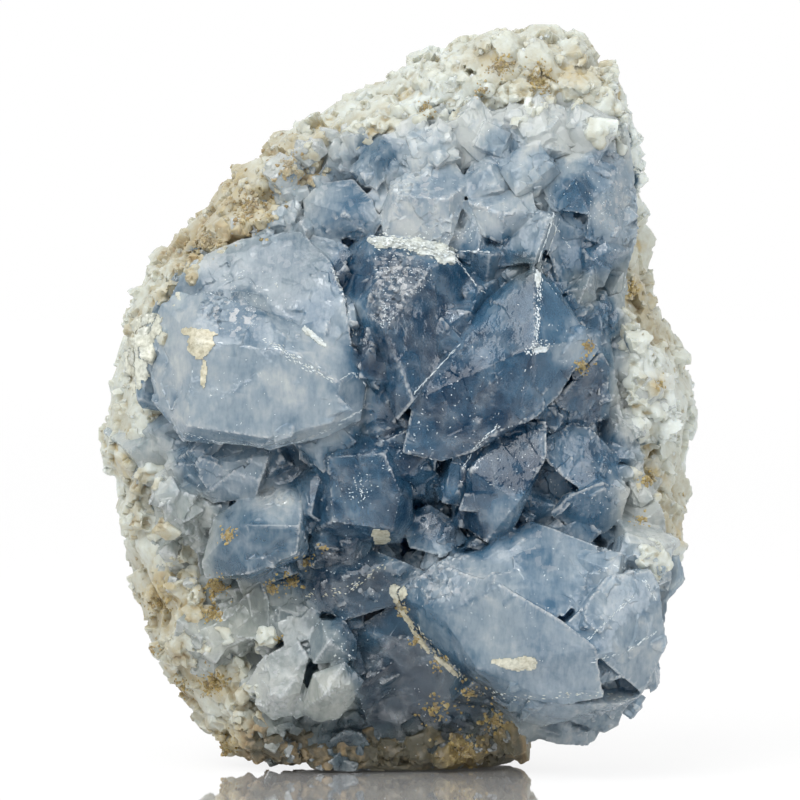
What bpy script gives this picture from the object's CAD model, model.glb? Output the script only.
import itertools
import math
import random

import bmesh
import bpy
import numpy as np
from mathutils import Matrix, Quaternion, Vector
from mathutils.bvhtree import BVHTree


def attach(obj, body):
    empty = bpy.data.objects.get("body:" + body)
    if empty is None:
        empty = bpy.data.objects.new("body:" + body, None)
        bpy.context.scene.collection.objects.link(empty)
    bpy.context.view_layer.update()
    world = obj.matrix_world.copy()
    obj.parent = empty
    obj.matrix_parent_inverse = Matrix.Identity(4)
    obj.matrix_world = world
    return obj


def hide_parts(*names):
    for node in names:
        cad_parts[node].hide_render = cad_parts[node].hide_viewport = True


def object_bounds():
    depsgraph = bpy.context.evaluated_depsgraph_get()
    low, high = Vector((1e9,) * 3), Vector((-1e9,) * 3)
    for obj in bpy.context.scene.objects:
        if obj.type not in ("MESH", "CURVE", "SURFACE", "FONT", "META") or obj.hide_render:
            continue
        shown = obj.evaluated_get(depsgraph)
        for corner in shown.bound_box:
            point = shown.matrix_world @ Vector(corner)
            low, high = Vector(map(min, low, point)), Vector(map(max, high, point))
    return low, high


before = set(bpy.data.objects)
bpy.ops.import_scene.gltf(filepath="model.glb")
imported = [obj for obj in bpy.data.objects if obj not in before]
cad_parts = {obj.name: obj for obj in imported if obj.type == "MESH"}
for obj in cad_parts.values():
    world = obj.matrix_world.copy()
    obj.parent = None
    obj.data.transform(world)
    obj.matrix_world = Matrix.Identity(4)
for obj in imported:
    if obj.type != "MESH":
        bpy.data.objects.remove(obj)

cad_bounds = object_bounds()

MM = 0.001

# The photograph: one pixel shows this much of the specimen, and this pixel is at x = 0, z = 0
PIXEL = 0.125 * MM
ZERO_PX = (405, 775)
PHOTO_PX = 800

# Camera
CAMERA_DISTANCE = 0.80
CAMERA_ELEVATION = math.radians(2.0)
CAMERA_DEPTH = -0.012  # the plane across the specimen at which a pixel has its size
SENSOR_MM = 36.0

# Fineness of the grown surfaces
CRYSTAL_VOXEL = 0.23 * MM
RIND_VOXEL = 0.42 * MM
DRUSE_VOXEL = 0.20 * MM
SEAM_VOXEL = 0.26 * MM
MOST_TRIANGLES = 190000
MOST_SEAM_TRIANGLES = 120000
SHARP_SHARE = 0.13  # of the triangles' number, how many points on sharp edges are kept
LEAST_BEND = 0.5  # per millimetre
GOLDEN_ANGLE = math.radians(137.5)

# The matrix: size of its swellings, and seed and number of the grains in its skin and of the loose ones on it
RIND_LUMP = 4.5 * MM
RIND_SEED = 23
RIND_CHUNKS = 2600
GRAIN_SEED = 31
GRAIN_COUNT = 4200
FOOT = (0.3 * MM, 1.2 * MM)  # heights between which the relief fades out, to keep the resting spot flat

CRYSTAL_IOR = 1.62

# Directions in which the crystals break, one for each size of break
BREAKS = [
    Quaternion(Vector((0.3, 0.9, 0.2)), 0.6).to_matrix(),
    Quaternion(Vector((0.8, 0.1, 0.5)), 1.1).to_matrix(),
    Quaternion(Vector((0.2, 0.6, 0.8)), 2.0).to_matrix(),
]
LARGE_BREAK = 6.5 * MM
MIDDLE_BREAK = 2.4 * MM
SMALL_BREAK = 0.9 * MM

# Layers that lie on the large faces: seed, number, and the spacing of the blocks in which they lie alike
LAYER_SEED = 4
LAYER_COUNT = 84
LAYER_BLOCK = 14 * MM

# Zones of small crystals, as the photograph shows them: (x, y, radius) in pixels, how many, least and most
# breadth in millimetres
DRUSE_ZONES = [
    (300, 184, 30, 20, 1.8, 4.2), (262, 222, 26, 18, 1.2, 3.0), (350, 152, 28, 18, 1.8, 4.2),
    (385, 165, 28, 8, 2.0, 4.4), (430, 142, 32, 16, 2.4, 6.0), (500, 140, 34, 14, 3.0, 7.0),
    (560, 126, 36, 18, 3.0, 7.0), (608, 158, 20, 10, 2.0, 4.4), (622, 230, 14, 8, 1.6, 3.6),
    (612, 310, 26, 16, 1.6, 4.0), (625, 400, 26, 16, 1.6, 4.4), (630, 480, 26, 16, 1.6, 4.6),
    (655, 560, 22, 12, 1.6, 4.0), (160, 462, 22, 10, 3.6, 7.0), (185, 520, 26, 14, 3.6, 7.5),
    (225, 605, 24, 10, 3.0, 6.5), (218, 655, 22, 8, 2.6, 5.5), (175, 570, 18, 6, 2.6, 5.0),
    (270, 745, 24, 12, 1.4, 3.2), (345, 750, 34, 16, 1.2, 3.4), (450, 745, 45, 20, 1.2, 3.4),
    (510, 715, 28, 14, 1.2, 3.2), (590, 716, 30, 10, 1.4, 3.2), (440, 520, 24, 8, 1.2, 3.2),
    (595, 320, 20, 8, 1.4, 3.2), (345, 590, 30, 8, 1.2, 2.6),
]
DRUSE_SEED = 11

# The search for clefts: pixels between looks, where the looks begin and how many there are across and down,
# how many steps away the lips are looked for, how many of the eight sides must stand nearer, and by how much
CLEFT_STEP = 4
CLEFT_START = (110, 30)
CLEFT_LOOKS = (145, 185)
CLEFT_REACHES = (3, 6)
CLEFT_SIDES = 5
CLEFT_DEPTH = 1.8 * MM
CLEFT_SHARE = 0.22  # how likely a place in a narrow cleft is to get a crystal

# Lumps of matrix that have grown over the crystals' edge: (x, y, radius) in pixels, how many, least and most
# breadth in millimetres
SEAM_LUMPS = [
    (140, 478, 18, 16, 2.0, 4.6), (152, 530, 18, 18, 2.0, 4.6), (165, 575, 20, 18, 1.8, 4.6),
    (185, 610, 20, 22, 1.6, 4.4), (190, 655, 22, 24, 1.6, 4.4), (236, 690, 24, 26, 1.6, 4.0),
    (240, 735, 26, 30, 1.6, 4.4), (257, 640, 12, 8, 1.4, 3.0), (148, 335, 16, 18, 2.0, 5.0),
    (165, 290, 18, 14, 2.0, 4.5), (300, 764, 30, 26, 1.6, 4.6), (370, 766, 34, 30, 1.6, 4.6),
    (440, 762, 34, 34, 2.0, 5.0), (500, 752, 24, 24, 1.8, 4.6), (590, 75, 34, 22, 2.0, 5.5),
    (520, 92, 36, 18, 1.8, 4.5), (440, 102, 34, 18, 1.8, 4.5), (370, 122, 30, 18, 1.8, 4.5),
    (305, 155, 26, 20, 1.6, 4.0), (185, 262, 20, 18, 1.6, 4.0), (225, 238, 18, 14, 1.6, 3.6),
    (250, 205, 26, 26, 1.4, 3.6), (612, 130, 20, 14, 1.8, 4.5), (640, 290, 16, 14, 1.8, 4.5),
    (645, 400, 18, 16, 1.8, 4.8), (652, 480, 18, 16, 1.8, 4.8), (655, 560, 16, 14, 1.8, 4.6),
]
SEAM_SEED = 53
SEAM_LOOKS = [(0, 1, 0.03), (1, 0.15, 0), (-1, 0.15, 0), (0.1, 0.4, -1), (0.1, 0.4, 1), (0.7, 0.7, -0.2)]
SEAM_STEP = 0.8 * MM
SEAM_REACH = 55 * MM  # the looks cover this much to each side of the middle
SEAM_GAP = 3 * MM  # crystal and matrix closer than this meet in a seam

# Stained grains on the crystals and in their seams: (x, y, radius) in pixels, how many, least and most
# breadth in millimetres, tint from white to brown, stain
SEAM_GRAIN_SEED = 47
SEAM_GRAINS = [
    (228, 535, 8, 110, 0.3, 0.8, 0.6, 1.0), (215, 588, 13, 200, 0.3, 0.9, 0.75, 1.0),
    (213, 615, 9, 120, 0.3, 0.9, 0.65, 1.0), (272, 588, 10, 70, 0.3, 0.8, 0.6, 0.9),
    (291, 582, 9, 80, 0.3, 0.8, 0.7, 1.0), (306, 562, 8, 50, 0.3, 0.8, 0.6, 0.9),
    (322, 548, 6, 20, 0.3, 0.7, 0.6, 0.8), (278, 640, 5, 14, 0.3, 0.7, 0.7, 1.0),
    (212, 683, 12, 170, 0.3, 0.9, 0.8, 1.0), (222, 750, 12, 100, 0.3, 0.9, 0.7, 0.9),
    (158, 605, 14, 70, 0.4, 1.0, 0.85, 0.7), (150, 650, 12, 50, 0.4, 1.0, 0.8, 0.6),
    (180, 690, 14, 60, 0.4, 1.0, 0.85, 0.7), (402, 610, 7, 40, 0.3, 0.8, 0.5, 0.9),
    (416, 640, 7, 40, 0.3, 0.8, 0.55, 1.0), (438, 664, 8, 44, 0.3, 0.8, 0.6, 1.0),
    (435, 710, 16, 80, 0.3, 0.9, 0.75, 0.9), (470, 695, 14, 70, 0.3, 0.9, 0.8, 0.9),
    (495, 722, 16, 90, 0.4, 1.0, 0.85, 0.8), (462, 750, 22, 110, 0.4, 1.1, 0.9, 0.7),
    (582, 366, 8, 110, 0.3, 0.8, 0.55, 1.0), (588, 346, 7, 60, 0.3, 0.8, 0.6, 0.9),
    (632, 290, 9, 60, 0.3, 0.8, 0.65, 0.9), (648, 480, 9, 70, 0.3, 0.9, 0.6, 0.9),
    (640, 520, 8, 34, 0.3, 0.8, 0.65, 0.9), (660, 385, 7, 30, 0.3, 0.8, 0.6, 0.8),
    (500, 66, 12, 140, 0.3, 0.9, 0.5, 0.8), (540, 80, 15, 180, 0.3, 0.9, 0.55, 0.7),
    (482, 92, 8, 30, 0.3, 0.8, 0.55, 0.6), (425, 108, 10, 36, 0.3, 0.8, 0.6, 0.6),
    (250, 205, 28, 220, 0.3, 1.0, 0.72, 0.4), (207, 240, 16, 80, 0.3, 1.0, 0.66, 0.35),
    (290, 165, 18, 80, 0.3, 1.0, 0.55, 0.3),
]

# Skins of cream mineral on the crystals: (x, y) in pixels, half the width and height, the turn in degrees,
# warmth
SKINS = [
    (201, 345, 13, 14, 12, 0.85), (197, 333, 17, 5, 6, 0.85), (204, 374, 3.5, 16, 4, 0.85),
    (140, 356, 13, 34, 8, 0.45), (150, 325, 12, 14, 20, 0.45), (314, 336, 17, 4, 38, 0.2),
    (519, 664, 23, 7, 3, 0.65), (380, 537, 13, 8, 12, 0.75), (392, 243, 24, 6, 5, 0.25),
    (430, 248, 27, 8, 12, 0.25), (446, 256, 12, 9, 10, 0.25), (403, 612, 20, 3.4, 58, 0.9),
    (421, 642, 18, 3.0, 52, 0.95), (446, 666, 17, 3.2, 40, 0.9), (397, 592, 9, 8, 0, 0.6),
    (540, 350, 8, 4, -10, 0.05), (538, 275, 3, 12, 4, 0.05),
]
SKIN_STEP = 1.1  # pixels between a skin's points
SKIN_HEIGHT = 0.10 * MM
SKIN_THICKNESS = 0.25 * MM

# The crystals' look, as the photograph shows it: (x, y, radius) in pixels, how deep the blue is, how frosted
# it is, and how far the blue gives way to grey-green
TONES = [
    (250, 385, 70, 0.3, 0.2, 0.1), (300, 400, 50, 0.26, 0.2, 0.1), (235, 318, 26, 0.36, 0.8, 0.05),
    (215, 400, 30, 0.34, 0.25, 0.1), (262, 280, 40, 0.37, 0.45, 0.28), (300, 265, 30, 0.37, 0.35, 0.28),
    (325, 305, 22, 0.42, 0.25, 0.05), (352, 400, 16, 0.46, 0.05, 0.0), (346, 272, 18, 0.94, 0.02, 0.0),
    (400, 278, 22, 1.0, 1.0, 0.0), (385, 305, 12, 1.0, 0.95, 0.0), (450, 300, 30, 0.82, 0.02, 0.0),
    (425, 345, 25, 0.82, 0.02, 0.0), (375, 350, 20, 0.94, 0.02, 0.0), (392, 400, 18, 0.92, 0.04, 0.0),
    (425, 430, 35, 0.94, 0.08, 0.0), (470, 400, 32, 0.98, 0.06, 0.0), (500, 345, 28, 0.84, 0.08, 0.0),
    (515, 300, 22, 0.7, 0.1, 0.1), (556, 312, 22, 0.62, 0.06, 0.0), (570, 345, 18, 0.38, 0.2, 0.0),
    (525, 390, 20, 0.7, 0.15, 0.0), (520, 272, 14, 0.62, 0.1, 0.6), (500, 255, 14, 0.78, 0.1, 0.1),
    (530, 232, 14, 0.34, 0.1, 0.1), (470, 258, 12, 0.74, 0.1, 0.0), (590, 250, 16, 0.56, 0.1, 0.0),
    (575, 195, 14, 0.78, 0.1, 0.0), (600, 165, 16, 0.46, 0.6, 0.0), (615, 205, 22, 0.36, 0.75, 0.05),
    (545, 165, 18, 0.34, 0.05, 0.05), (560, 112, 45, 0.0, 0.5, 0.35), (500, 150, 22, 0.34, 0.35, 0.1),
    (460, 130, 30, 0.06, 0.3, 0.3), (430, 205, 40, 0.18, 0.6, 0.05), (470, 190, 20, 0.3, 0.4, 0.05),
    (425, 145, 24, 0.2, 0.5, 0.15), (380, 155, 18, 0.56, 0.2, 0.15), (340, 215, 26, 0.46, 0.4, 0.05),
    (300, 190, 26, 0.24, 0.5, 0.25), (285, 140, 30, 0.06, 0.6, 0.5), (400, 95, 40, 0.04, 0.6, 0.5),
    (215, 225, 30, 0.06, 0.6, 0.5), (585, 292, 14, 0.34, 0.2, 0.5), (605, 320, 16, 0.62, 0.2, 0.1),
    (580, 395, 28, 0.92, 0.15, 0.0), (640, 310, 22, 0.1, 0.5, 0.6), (495, 465, 30, 1.0, 0.04, 0.0),
    (530, 455, 16, 0.92, 0.04, 0.0), (515, 510, 22, 0.66, 0.45, 0.0), (585, 465, 30, 0.64, 0.3, 0.0),
    (590, 505, 22, 0.66, 0.35, 0.0), (640, 400, 28, 0.06, 0.5, 0.6), (650, 500, 28, 0.06, 0.5, 0.6),
    (455, 575, 26, 0.32, 0.75, 0.05), (480, 625, 45, 0.42, 0.25, 0.1), (555, 610, 45, 0.45, 0.25, 0.0),
    (630, 600, 35, 0.24, 0.3, 0.05), (555, 548, 30, 0.4, 0.5, 0.0), (560, 680, 40, 0.36, 0.2, 0.05),
    (590, 705, 25, 0.34, 0.4, 0.15), (535, 735, 20, 0.3, 0.3, 0.4), (430, 505, 22, 0.8, 0.05, 0.0),
    (440, 460, 14, 0.82, 0.1, 0.0), (465, 535, 18, 0.86, 0.15, 0.1), (360, 475, 36, 0.86, 0.22, 0.05),
    (345, 520, 20, 0.7, 0.15, 0.05), (290, 465, 18, 0.9, 0.1, 0.2), (200, 460, 22, 0.54, 0.15, 0.1),
    (245, 470, 22, 0.36, 0.2, 0.1), (275, 505, 18, 0.12, 0.6, 0.1), (255, 545, 30, 0.6, 0.15, 0.2),
    (295, 550, 15, 0.5, 0.2, 0.2), (350, 575, 30, 0.96, 0.3, 0.3), (400, 555, 16, 0.56, 0.6, 0.15),
    (370, 615, 25, 0.8, 0.1, 0.15), (150, 465, 24, 0.16, 0.45, 0.55), (185, 525, 26, 0.18, 0.35, 0.75),
    (240, 610, 25, 0.32, 0.25, 0.9), (205, 655, 22, 0.12, 0.45, 0.85), (175, 575, 20, 0.1, 0.5, 0.8),
    (290, 620, 18, 0.4, 0.25, 0.7), (325, 640, 16, 0.34, 0.2, 0.5), (330, 695, 24, 0.16, 0.2, 0.9),
    (280, 690, 22, 0.06, 0.55, 0.7), (250, 740, 24, 0.44, 0.3, 1.0), (300, 735, 16, 0.6, 0.3, 0.8),
    (400, 680, 40, 0.9, 0.08, 0.35), (450, 700, 40, 0.88, 0.1, 0.45), (345, 745, 22, 0.66, 0.4, 0.6),
    (430, 750, 35, 0.84, 0.4, 0.9), (490, 745, 30, 0.74, 0.5, 1.0),
]

# How warm the matrix is, from grey-white to tan: (x, y, radius) in pixels, warmth
WARMTHS = [
    (530, 60, 60, 0.32), (440, 70, 40, 0.26), (350, 105, 40, 0.38), (250, 200, 45, 0.62),
    (195, 250, 30, 0.52), (150, 300, 25, 0.34), (118, 370, 25, 0.2), (112, 450, 35, 0.22),
    (135, 540, 40, 0.42), (160, 640, 40, 0.5), (200, 720, 40, 0.52), (250, 620, 50, 0.3),
    (310, 690, 50, 0.1), (300, 765, 50, 1.3), (450, 765, 60, 1.75), (460, 690, 40, 0.74),
    (590, 745, 50, 0.4), (630, 110, 30, 0.06), (640, 300, 30, 0.36), (680, 430, 40, 0.12),
    (640, 500, 35, 0.36), (680, 580, 30, 0.24),
]

# Lumps that swell from the matrix: (x, y, radius) in pixels, how many, least and most breadth in millimetres
LUMP_ZONES = [
    (590, 60, 36, 10, 3.0, 7.0), (520, 45, 45, 12, 3.0, 7.0), (450, 72, 40, 9, 3.0, 6.0),
    (390, 95, 30, 6, 2.5, 5.0), (622, 110, 18, 5, 3.0, 6.0), (330, 130, 30, 7, 2.0, 4.5),
    (155, 285, 20, 6, 2.5, 5.0), (138, 340, 18, 7, 3.0, 6.0), (116, 400, 16, 7, 3.0, 6.0),
    (112, 450, 18, 7, 3.0, 6.0), (165, 485, 22, 8, 3.0, 6.0), (185, 530, 25, 8, 3.0, 6.0),
    (210, 590, 25, 5, 2.5, 5.0), (235, 650, 25, 6, 2.0, 4.5), (235, 735, 22, 5, 2.0, 4.5),
    (640, 300, 20, 7, 3.0, 6.0), (655, 360, 24, 9, 3.0, 7.0), (665, 430, 26, 11, 3.5, 8.0),
    (672, 510, 22, 9, 3.0, 7.0), (668, 590, 16, 6, 2.5, 5.0), (620, 345, 18, 4, 2.5, 5.0),
]

# Rust and ochre stains on the matrix: (x, y, radius) in pixels, strength
STAINS = [
    (500, 66, 14, 0.7), (540, 80, 18, 0.6), (575, 72, 14, 0.6), (250, 205, 42, 0.4), (200, 248, 22, 0.35),
    (285, 165, 18, 0.3), (215, 585, 18, 1.0), (212, 615, 14, 0.9), (285, 582, 20, 0.9),
    (155, 605, 26, 0.6), (212, 682, 18, 1.0), (230, 535, 12, 0.9), (222, 750, 14, 0.9),
    (470, 695, 12, 0.9), (435, 710, 12, 0.8), (495, 722, 16, 0.9), (462, 758, 18, 0.9),
    (585, 365, 12, 1.0), (635, 290, 14, 0.7), (650, 480, 16, 0.8), (640, 520, 12, 0.7),
    (660, 385, 12, 0.6), (118, 470, 14, 0.4), (440, 655, 14, 0.6),
]

# Lines of splinters: points in pixels, how many, breadth in millimetres, how far they stray in pixels, how
# many times longer than broad, how far they bridge gaps in pixels, warmth
SPLINTER_LINES = [
    ([(541, 264), (539, 300), (536, 340)], 120, 0.26, 1.3, 1.5, 0, 0.0),
    ([(262, 340), (280, 348), (302, 364), (332, 379)], 90, 0.20, 1.8, 2.4, 0, 0.15),
    ([(371, 239), (410, 244), (456, 256)], 260, 0.30, 3.6, 1.6, 6, 0.2),
    ([(459, 345), (436, 370), (411, 396)], 60, 0.15, 0.4, 5.0, 0, 0.0),
    ([(553, 214), (546, 238), (537, 262)], 50, 0.13, 0.3, 5.0, 3, 0.0),
    ([(560, 217), (552, 240), (544, 262)], 40, 0.12, 0.3, 5.0, 3, 0.0),
    ([(340, 380), (352, 372), (367, 386), (363, 410), (341, 421)], 70, 0.13, 0.4, 4.0, 0, 0.0),
    ([(175, 430), (215, 442), (262, 445), (300, 442), (342, 424)], 90, 0.12, 0.6, 4.0, 0, 0.0),
    ([(330, 262), (344, 296), (355, 336)], 80, 0.15, 0.8, 3.0, 0, 0.1),
    ([(394, 598), (408, 622), (436, 652), (462, 676)], 90, 0.34, 2.6, 1.5, 0, 0.85),
    ([(470, 690), (520, 700), (592, 694), (630, 700)], 70, 0.20, 2.0, 2.0, 0, 0.3),
    ([(592, 662), (628, 652), (657, 632)], 60, 0.16, 0.7, 3.0, 0, 0.0),
    ([(598, 572), (612, 566), (640, 572), (656, 600)], 60, 0.16, 0.9, 3.0, 0, 0.0),
    ([(588, 640), (606, 622), (634, 596)], 50, 0.16, 0.8, 3.0, 0, 0.0),
    ([(548, 214), (560, 236), (572, 250)], 30, 0.13, 0.5, 4.0, 0, 0.0),
    ([(500, 424), (476, 446), (462, 470)], 50, 0.16, 0.9, 3.0, 0, 0.0),
    ([(306, 596), (345, 592), (392, 560)], 50, 0.24, 2.0, 2.0, 0, 0.6),
    ([(453, 254), (478, 288), (485, 292)], 40, 0.12, 0.4, 5.0, 3, 0.0),
    ([(455, 250), (490, 252)], 24, 0.14, 0.4, 4.0, 3, 0.0),
]

# Patches of splinters: middle, half width and half height in pixels, turn in degrees, how many, breadth in
# millimetres, warmth
SPLINTER_PATCHES = [
    (538, 347, 15, 7, -15, 60, 0.22, 0.05), (404, 276, 30, 22, 0, 150, 0.17, 0.0),
    (385, 312, 12, 14, 0, 80, 0.16, 0.0), (235, 318, 26, 15, 0, 90, 0.15, 0.0),
    (360, 488, 12, 16, 20, 50, 0.18, 0.1), (255, 288, 40, 18, 0, 40, 0.18, 0.2),
    (470, 235, 16, 8, 0, 20, 0.2, 0.1), (430, 235, 30, 8, 0, 30, 0.2, 0.05),
    (608, 205, 24, 26, 0, 70, 0.15, 0.0), (340, 650, 14, 24, 0, 30, 0.22, 0.1),
]

# Specks: (x, y, radius) in pixels, how many, breadth in millimetres
SPECKS = [
    (460, 400, 70, 80, 0.13), (420, 440, 45, 40, 0.15), (260, 390, 80, 50, 0.11), (520, 480, 60, 60, 0.12),
    (590, 480, 40, 40, 0.14), (360, 490, 50, 40, 0.12), (530, 600, 90, 70, 0.12), (560, 340, 40, 30, 0.11),
    (430, 700, 60, 20, 0.12), (450, 190, 60, 50, 0.12), (590, 200, 40, 40, 0.12), (360, 590, 50, 40, 0.13),
    (230, 470, 60, 30, 0.12),
]
EDGE_SPLINTERS = 900
SPLINTER_SEED = 17


def spot(x_px, y_px):
    """The (x, z) place in metres that a pixel of the photograph shows."""
    return (x_px - ZERO_PX[0]) * PIXEL, (ZERO_PX[1] - y_px) * PIXEL


def camera_target():
    """The point that the middle of the photograph shows."""
    x, z = spot(PHOTO_PX / 2, PHOTO_PX / 2)
    return Vector((x, CAMERA_DEPTH, z))


def camera_back():
    """Direction from the specimen to the camera."""
    return Vector((0, -math.cos(CAMERA_ELEVATION), math.sin(CAMERA_ELEVATION)))


def sight(tree, x_px, y_px):
    """The place that the camera sees at a pixel of the photograph, and the surface's normal there."""
    eye = camera_target() + camera_back() * CAMERA_DISTANCE
    x, z = spot(x_px, y_px)
    hit, normal, _, _ = tree.ray_cast(eye, (Vector((x, CAMERA_DEPTH, z)) - eye).normalized())
    return hit, normal


def zone_hits(rng, tree, zones, reach=lambda rng: math.sqrt(rng.random())):
    """Random places that the camera sees in each zone, with the surface's normal there and the zone.

    A zone begins with its middle and radius in pixels and the number of its places.
    """
    for zone in zones:
        for _ in range(zone[3]):
            angle = rng.uniform(0, math.tau)
            away = zone[2] * reach(rng)
            hit, normal = sight(tree, zone[0] + away * math.cos(angle), zone[1] + away * math.sin(angle))
            if hit is not None:
                yield hit, normal, zone


def ridge_sight(tree, x_px, y_px, reach):
    """Like sight, but over a gap it gives a place level with the nearer of what is above and below it."""
    found = [sight(tree, x_px, y_px + step) for step in (0, -reach, reach)]
    found = [(hit, normal) for hit, normal in found if hit is not None]
    if not found:
        return None, None
    hit, normal = min(found, key=lambda pair: pair[0].y)
    if hit is found[0][0]:
        return hit, normal
    x, z = spot(x_px, y_px)
    return Vector((x, hit.y, z)), normal


def mesh_arrays(mesh):
    """Points and triangles of a mesh as arrays."""
    mesh.calc_loop_triangles()
    points = np.empty(len(mesh.vertices) * 3, np.float32)
    mesh.vertices.foreach_get("co", points)
    faces = np.empty(len(mesh.loop_triangles) * 3, np.int32)
    mesh.loop_triangles.foreach_get("vertices", faces)
    return points.reshape(-1, 3).astype(float), faces.reshape(-1, 3)


def solid_tree(points, faces):
    """A search tree of some triangles."""
    return BVHTree.FromPolygons(points.tolist(), faces.tolist())


def surface_tree(*pieces):
    """A search tree of the surfaces of some pieces."""
    all_points = []
    all_faces = []
    offset = 0
    for piece in pieces:
        points, faces = mesh_arrays(piece.data)
        all_points.append(points)
        all_faces.append(faces + offset)
        offset += len(points)
    return solid_tree(np.concatenate(all_points), np.concatenate(all_faces))


def new_piece(name, points, faces):
    """An object from arrays of points and triangles."""
    mesh = bpy.data.meshes.new(name)
    mesh.from_pydata(np.asarray(points).tolist(), [], np.asarray(faces).tolist())
    mesh.update()
    piece = bpy.data.objects.new(name, mesh)
    bpy.context.scene.collection.objects.link(piece)
    return piece


def applied(piece):
    """Replaces a piece's mesh with the mesh that its modifiers make of it."""
    graph = bpy.context.evaluated_depsgraph_get()
    graph.update()
    made = bpy.data.meshes.new_from_object(piece.evaluated_get(graph))
    old = piece.data
    piece.modifiers.clear()
    piece.data = made
    made.name = piece.name
    bpy.data.meshes.remove(old)


def remeshed(piece, voxel):
    """Everything in the piece grown together into one closed skin."""
    modifier = piece.modifiers.new("grown", "REMESH")
    modifier.mode = "VOXEL"
    modifier.voxel_size = voxel
    modifier.adaptivity = 0.0
    applied(piece)


def thinned(piece, most):
    """Fewer triangles where the surface is plain; the sharpest edges keep theirs."""
    mesh = piece.data
    count = sum(len(face.vertices) - 2 for face in mesh.polygons)
    if count <= most:
        return
    bend, ends = bends(mesh)
    rank = -int(most * SHARP_SHARE)
    kept = bend > max(np.partition(bend, rank)[rank], LEAST_BEND)
    kept[ends[kept[ends].any(axis=1)].ravel()] = True
    group = piece.vertex_groups.new(name="kept")
    group.add(np.flatnonzero(kept).tolist(), 1.0, "REPLACE")
    modifier = piece.modifiers.new("thinned", "DECIMATE")
    modifier.vertex_group = group.name
    modifier.invert_vertex_group = True
    modifier.ratio = most / count
    modifier.use_collapse_triangulate = True
    applied(piece)
    piece.vertex_groups.clear()


def bends(mesh):
    """How sharply the surface turns at each point, per millimetre, and the edges' ends.

    It is above 0 on edges that stand out and below 0 in crevices.
    """
    points, normals = point_arrays(mesh)
    ends = np.empty(len(mesh.edges) * 2, np.int32)
    mesh.edges.foreach_get("vertices", ends)
    ends = ends.reshape(-1, 2)
    way = points[ends[:, 0]] - points[ends[:, 1]]
    turn = normals[ends[:, 0]] - normals[ends[:, 1]]
    bend = (way * turn).sum(axis=1) / np.maximum((way ** 2).sum(axis=1), 1e-12) * MM
    total = np.bincount(ends.ravel(), weights=np.repeat(bend, 2), minlength=len(points))
    count = np.bincount(ends.ravel(), minlength=len(points))
    return total / np.maximum(count, 1), ends


def displaced(piece, moves):
    """Moves each point along its normal, within the CAD model's box."""
    mesh = piece.data
    points, normals = point_arrays(mesh)
    points = inside_box(points + normals * moves[:, None]).astype(np.float32)
    mesh.vertices.foreach_set("co", points.ravel())
    mesh.update()


def point_arrays(mesh):
    """Points of a mesh and their normals as arrays."""
    points = np.empty(len(mesh.vertices) * 3, np.float32)
    mesh.vertices.foreach_get("co", points)
    normals = np.empty(len(mesh.vertices) * 3, np.float32)
    mesh.vertex_normals.foreach_get("vector", normals)
    return points.reshape(-1, 3).astype(float), normals.reshape(-1, 3).astype(float)


def welded_arrays(node):
    """Points and triangles of a CAD node, with its split corners joined again."""
    mesh = bmesh.new()
    mesh.from_mesh(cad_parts[node].data)
    bmesh.ops.remove_doubles(mesh, verts=mesh.verts, dist=1e-7)
    bmesh.ops.triangulate(mesh, faces=mesh.faces)
    holder = bpy.data.meshes.new("holder")
    mesh.to_mesh(holder)
    mesh.free()
    points, faces = mesh_arrays(holder)
    bpy.data.meshes.remove(holder)
    return points, faces


def hull_shape(points):
    """Points and triangles of the flat-faced solid round some points."""
    mesh = bmesh.new()
    corners = [mesh.verts.new(point) for point in points]
    made = bmesh.ops.convex_hull(mesh, input=corners)
    inner = made["geom_interior"] + made["geom_unused"]
    spare = {part for part in inner if isinstance(part, bmesh.types.BMVert)}
    bmesh.ops.delete(mesh, geom=list(spare), context="VERTS")
    bmesh.ops.triangulate(mesh, faces=mesh.faces)
    bmesh.ops.recalc_face_normals(mesh, faces=mesh.faces)
    mesh.verts.index_update()
    found = np.array([vert.co[:] for vert in mesh.verts])
    faces = np.array([[vert.index for vert in face.verts] for face in mesh.faces])
    mesh.free()
    return found, faces


def chunk_shapes(rng, kinds, corners):
    """Broken grains of unit radius."""
    shapes = []
    for _ in range(kinds):
        points = []
        for index in range(corners):
            height = 1 - (2 * index + 1) / corners
            turn = index * GOLDEN_ANGLE
            level = math.sqrt(1 - height * height)
            direction = Vector((level * math.cos(turn), level * math.sin(turn), height))
            direction += Vector((rng.gauss(0, 0.22), rng.gauss(0, 0.22), rng.gauss(0, 0.22)))
            points.append(direction.normalized() * rng.uniform(0.8, 1.0))
        shapes.append(hull_shape(points))
    return shapes


def prism_shapes(rng, kinds):
    """Blocky crystals of unit breadth that stand along +Z, with wedge tips broken in different ways."""
    shapes = []
    for _ in range(kinds):
        wide = 0.5
        deep = rng.uniform(0.28, 0.46)
        points = []
        for side in (-1, 1):
            crest = side * wide * rng.uniform(0.5, 0.9)
            points.append((crest, rng.uniform(-0.2, 0.2), rng.uniform(0.5, 0.6)))
            for across in (-1, 1):
                points.append((side * wide, across * deep, rng.uniform(0.3, 0.52)))
                points.append((side * wide, across * deep, -0.9))
        shapes.append(hull_shape(points))
    return shapes


def layer_shapes(rng, kinds):
    """Flat broken layers of unit breadth whose tops are at z = 0."""
    shapes = []
    for _ in range(kinds):
        corners = rng.randint(4, 6)
        points = []
        for index in range(corners):
            angle = math.tau * (index + rng.uniform(-0.3, 0.3)) / corners
            reach = rng.uniform(0.38, 0.5)
            x, y = reach * math.cos(angle), reach * math.sin(angle)
            points.append((x * 0.86, y * 0.86, rng.uniform(-0.12, 0)))
            points.append((x, y, -1))
        shapes.append(hull_shape(points))
    return shapes


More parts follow.
